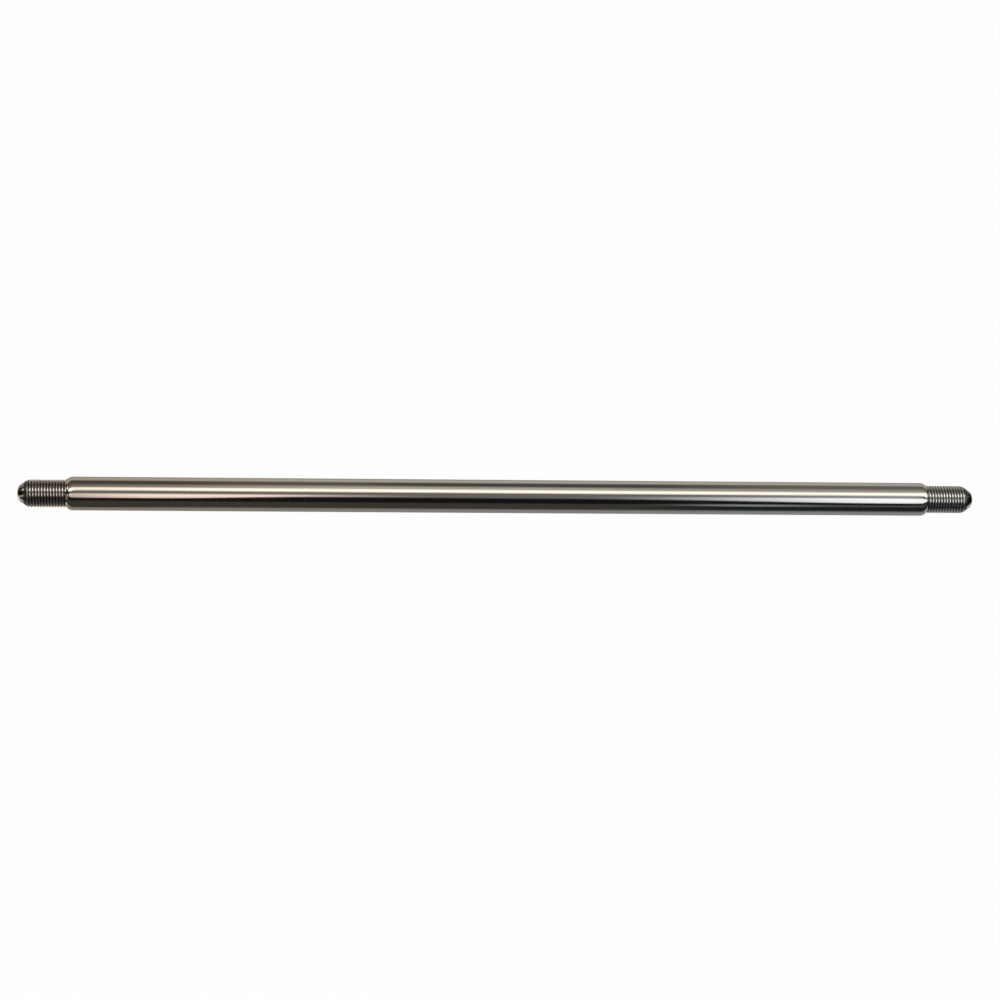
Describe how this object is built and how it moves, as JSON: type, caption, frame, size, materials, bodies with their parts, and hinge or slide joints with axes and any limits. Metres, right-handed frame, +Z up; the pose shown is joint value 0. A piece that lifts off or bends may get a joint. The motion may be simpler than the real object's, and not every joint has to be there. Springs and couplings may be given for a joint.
{
  "type": "stepped shaft",
  "caption": "Straight ground steel shaft stepped down at both ends, over a rounded shoulder, to a fine-threaded stud with a domed nose.",
  "frame": {"origin": "mid-length of the shaft, on its axis", "axes": "+X along the axis towards one stud, called the right stud; +Z up as shown; the two ends are alike"},
  "size_m": [0.416, 0.0144, 0.0144],
  "materials": {
    "ground_steel": "ground and polished bright, with a faint straw and violet tint, threads satin"
  },
  "bodies": {
    "root": {"stepped_shaft": "ground_steel"}
  },
  "joints": []
}
